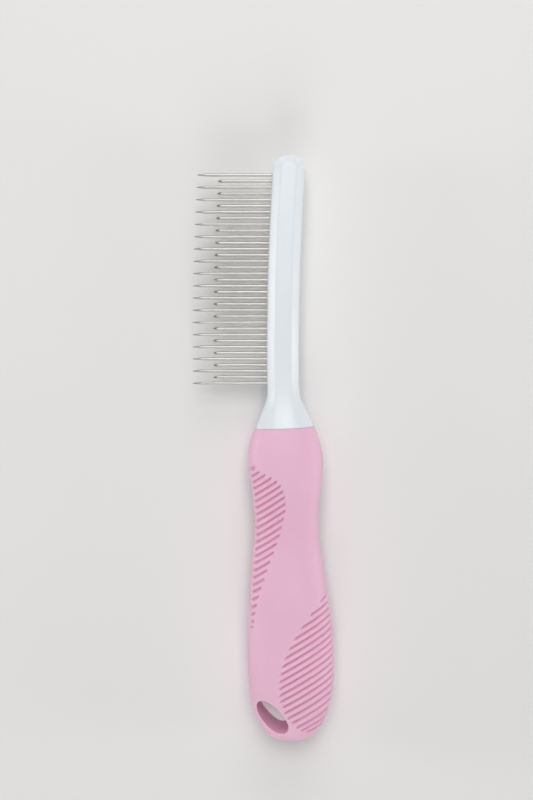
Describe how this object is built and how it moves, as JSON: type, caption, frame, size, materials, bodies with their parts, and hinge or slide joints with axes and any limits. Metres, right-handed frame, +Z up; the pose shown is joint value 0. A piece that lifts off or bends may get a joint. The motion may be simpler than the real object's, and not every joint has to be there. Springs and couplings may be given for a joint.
{
  "type": "grooming comb",
  "caption": "Hand-held pet grooming comb: a row of long and short steel pins in a slim moulded spine, with a contoured soft grip, engraved finger grooves and a hang hole.",
  "frame": {"origin": "bottom centre of the comb's box as it lies flat on its back face, halfway along its length and width", "axes": "+X along the length from the spine's tip to the butt of the grip, +Y from the pins' points to the comb's back, +Z up out of the front face"},
  "size_m": [0.2152, 0.052, 0.022],
  "materials": {
    "spine_plastic": "glossy moulded plastic, white with a slight blue tint",
    "grip_rubber": "satin soft-touch moulding in pale pink",
    "pin_steel": "polished steel wire"
  },
  "bodies": {
    "root": {"comb_spine": "spine_plastic", "grip_sleeve": "grip_rubber", "long_tooth_01": "pin_steel", "long_tooth_02": "pin_steel", "long_tooth_03": "pin_steel", "long_tooth_04": "pin_steel", "long_tooth_05": "pin_steel", "long_tooth_06": "pin_steel", "long_tooth_07": "pin_steel", "long_tooth_08": "pin_steel", "long_tooth_09": "pin_steel", "long_tooth_10": "pin_steel", "long_tooth_11": "pin_steel", "long_tooth_12": "pin_steel", "long_tooth_13": "pin_steel", "long_tooth_14": "pin_steel", "long_tooth_15": "pin_steel", "long_tooth_16": "pin_steel", "long_tooth_17": "pin_steel", "long_tooth_18": "pin_steel", "short_tooth_01": "pin_steel", "short_tooth_02": "pin_steel", "short_tooth_03": "pin_steel", "short_tooth_04": "pin_steel", "short_tooth_05": "pin_steel", "short_tooth_06": "pin_steel", "short_tooth_07": "pin_steel", "short_tooth_08": "pin_steel", "short_tooth_09": "pin_steel", "short_tooth_10": "pin_steel", "short_tooth_11": "pin_steel", "short_tooth_12": "pin_steel", "short_tooth_13": "pin_steel", "short_tooth_14": "pin_steel", "short_tooth_15": "pin_steel", "short_tooth_16": "pin_steel", "short_tooth_17": "pin_steel"}
  },
  "joints": []
}
